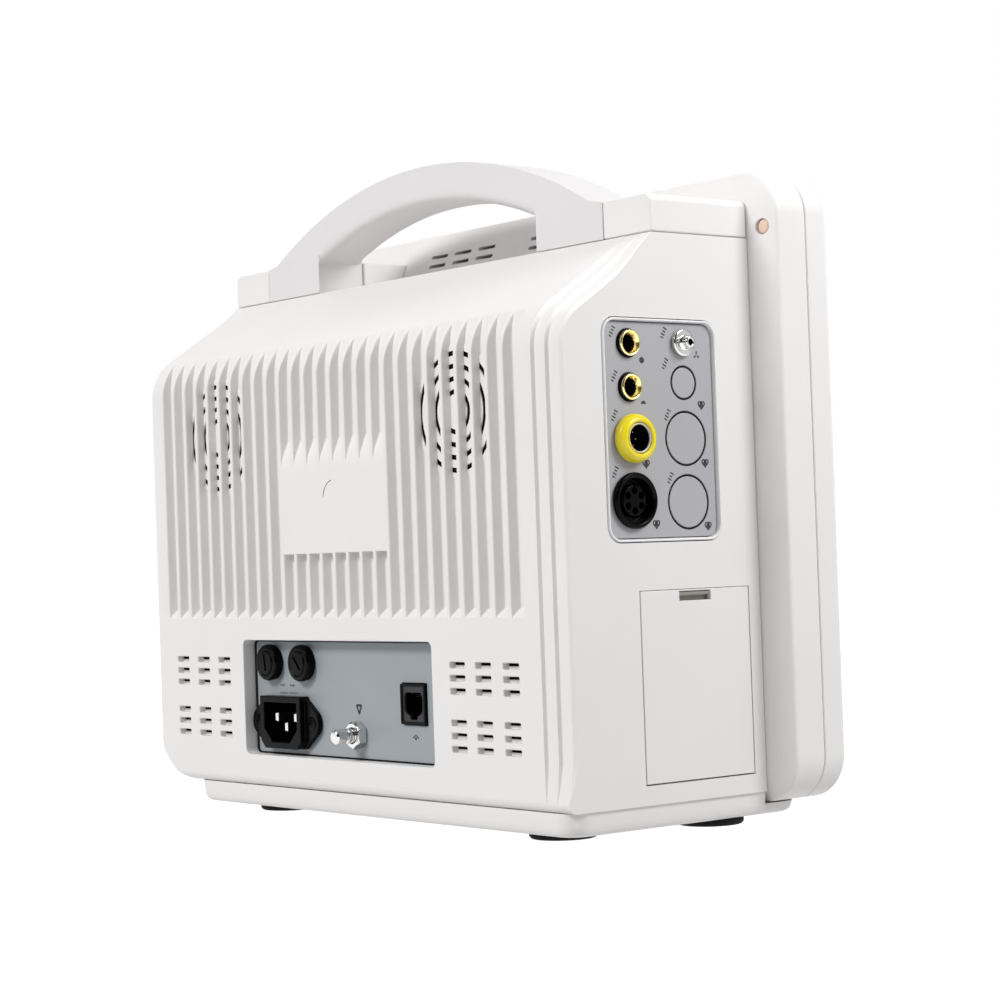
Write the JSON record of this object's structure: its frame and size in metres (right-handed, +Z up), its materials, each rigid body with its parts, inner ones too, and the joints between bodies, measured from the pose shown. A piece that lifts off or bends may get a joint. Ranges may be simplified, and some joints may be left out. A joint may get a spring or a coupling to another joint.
{
  "type": "patient monitor",
  "caption": "Portable bedside patient monitor: box-shaped finned case with an arched carry handle, side sensor sockets, rear mains inlet, front screen, keys and knob.",
  "frame": {"origin": "middle of the outline on the floor, under the feet", "axes": "+X to the right seen from the screen side, +Y towards the rear cover, +Z up; the screen faces -Y and the sensor sockets face -X"},
  "size_m": [0.314, 0.1506, 0.27],
  "materials": {
    "case_white": "fine matt texture, off-white ABS",
    "plug_peach": "satin, soft plastic plug",
    "foot_rubber": "matt black rubber",
    "plate_grey": "satin grey paint on sheet steel",
    "black_plastic": "half-gloss black moulding",
    "plated_metal": "bright nickel plate",
    "fuse_glass": "clear glass tube",
    "panel_grey": "fine matt texture, light grey",
    "gold_plate": "bright gold plate",
    "socket_yellow": "gloss yellow moulding",
    "latch_grey": "matt warm grey",
    "screen_glass": "anti-glare glass over a dark screen",
    "sheet_metal": "plain rolled sheet",
    "key_grey": "soft matt key caps",
    "lamp_amber": "translucent amber lens",
    "circuit_board": "green solder mask"
  },
  "bodies": {
    "housing": {"rear_cover": "case_white", "top_cover": "case_white", "carry_handle": "case_white", "bezel_ring": "case_white", "front_bezel": "case_white", "bezel_hole_plug": "plug_peach", "base_plinth": "case_white", "foot_front_left": "foot_rubber", "foot_front_right": "foot_rubber", "foot_rear_left": "foot_rubber", "foot_rear_right": "foot_rubber", "rear_plate": "plate_grey", "mains_inlet": "black_plastic", "inlet_pin_line": "plated_metal", "inlet_pin_neutral": "plated_metal", "inlet_pin_earth": "plated_metal", "fuse_holder_left": "black_plastic", "fuse_link_left": "fuse_glass", "fuse_holder_right": "black_plastic", "fuse_link_right": "fuse_glass", "earth_stud": "plated_metal", "earth_stud_nut": "plated_metal", "network_jack": "black_plastic", "sensor_plate": "panel_grey", "temperature_jack_1": "black_plastic", "temperature_bush_1": "gold_plate", "temperature_jack_2": "black_plastic", "temperature_bush_2": "gold_plate", "ring_socket": "socket_yellow", "ring_socket_core": "black_plastic", "six_way_socket": "black_plastic", "cuff_fitting": "plated_metal", "blank_disc_1": "panel_grey", "blank_disc_2": "panel_grey", "blank_disc_3": "panel_grey", "battery_pack": "black_plastic", "battery_bay": "panel_grey", "display_glass": "screen_glass", "display_module": "sheet_metal", "encoder_body": "sheet_metal", "alarm_lamp": "lamp_amber", "chassis": "sheet_metal", "main_board": "circuit_board", "power_supply": "circuit_board", "cuff_pump": "sheet_metal", "speaker_right": "black_plastic", "speaker_left": "black_plastic"},
    "battery_door": {"battery_door": "case_white"},
    "battery_latch": {"battery_latch": "latch_grey"},
    "key_power": {"key_power": "key_grey"},
    "key_alarm": {"key_alarm": "key_grey"},
    "key_freeze": {"key_freeze": "key_grey"},
    "key_cuff": {"key_cuff": "key_grey"},
    "key_record": {"key_record": "key_grey"},
    "key_menu": {"key_menu": "key_grey"},
    "key_trend": {"key_trend": "key_grey"},
    "knob_shaft": {"knob_shaft": "sheet_metal"},
    "rotary_knob": {"rotary_knob": "key_grey"},
    "fuse_cap_left": {"fuse_cap_left": "black_plastic"},
    "fuse_cap_right": {"fuse_cap_right": "black_plastic"}
  },
  "joints": [
    {"name": "battery_door_hinge", "type": "hinge", "parent": "housing", "child": "battery_door", "pos_m": [-0.1422, 0.0037, 0.0206], "axis": [0, -1, 0], "range_deg": [0, 95]},
    {"name": "battery_latch_slide", "type": "slide", "parent": "battery_door", "child": "battery_latch", "axis": [0, 0, -1], "range_m": [0, 0.0018], "stiffness_N_per_m": 300},
    {"name": "power_key_travel", "type": "slide", "parent": "housing", "child": "key_power", "axis": [0, 1, 0], "range_m": [0, 0.001], "stiffness_N_per_m": 500},
    {"name": "alarm_key_travel", "type": "slide", "parent": "housing", "child": "key_alarm", "axis": [0, 1, 0], "range_m": [0, 0.001], "stiffness_N_per_m": 500},
    {"name": "freeze_key_travel", "type": "slide", "parent": "housing", "child": "key_freeze", "axis": [0, 1, 0], "range_m": [0, 0.001], "stiffness_N_per_m": 500},
    {"name": "cuff_key_travel", "type": "slide", "parent": "housing", "child": "key_cuff", "axis": [0, 1, 0], "range_m": [0, 0.001], "stiffness_N_per_m": 500},
    {"name": "record_key_travel", "type": "slide", "parent": "housing", "child": "key_record", "axis": [0, 1, 0], "range_m": [0, 0.001], "stiffness_N_per_m": 500},
    {"name": "menu_key_travel", "type": "slide", "parent": "housing", "child": "key_menu", "axis": [0, 1, 0], "range_m": [0, 0.001], "stiffness_N_per_m": 500},
    {"name": "trend_key_travel", "type": "slide", "parent": "housing", "child": "key_trend", "axis": [0, 1, 0], "range_m": [0, 0.001], "stiffness_N_per_m": 500},
    {"name": "knob_turn", "type": "hinge", "parent": "housing", "child": "knob_shaft", "pos_m": [0.131, -0.06, 0.052], "axis": [0, -1, 0], "continuous": true},
    {"name": "knob_push", "type": "slide", "parent": "knob_shaft", "child": "rotary_knob", "axis": [0, 1, 0], "range_m": [0, 0.0008], "stiffness_N_per_m": 1500},
    {"name": "left_fuse_cap_turn", "type": "hinge", "parent": "housing", "child": "fuse_cap_left", "pos_m": [0.0553, 0.0645, 0.0642], "axis": [0, 1, 0], "range_deg": [0, 90]},
    {"name": "right_fuse_cap_turn", "type": "hinge", "parent": "housing", "child": "fuse_cap_right", "pos_m": [0.0312, 0.0645, 0.0642], "axis": [0, 1, 0], "range_deg": [0, 90]}
  ]
}
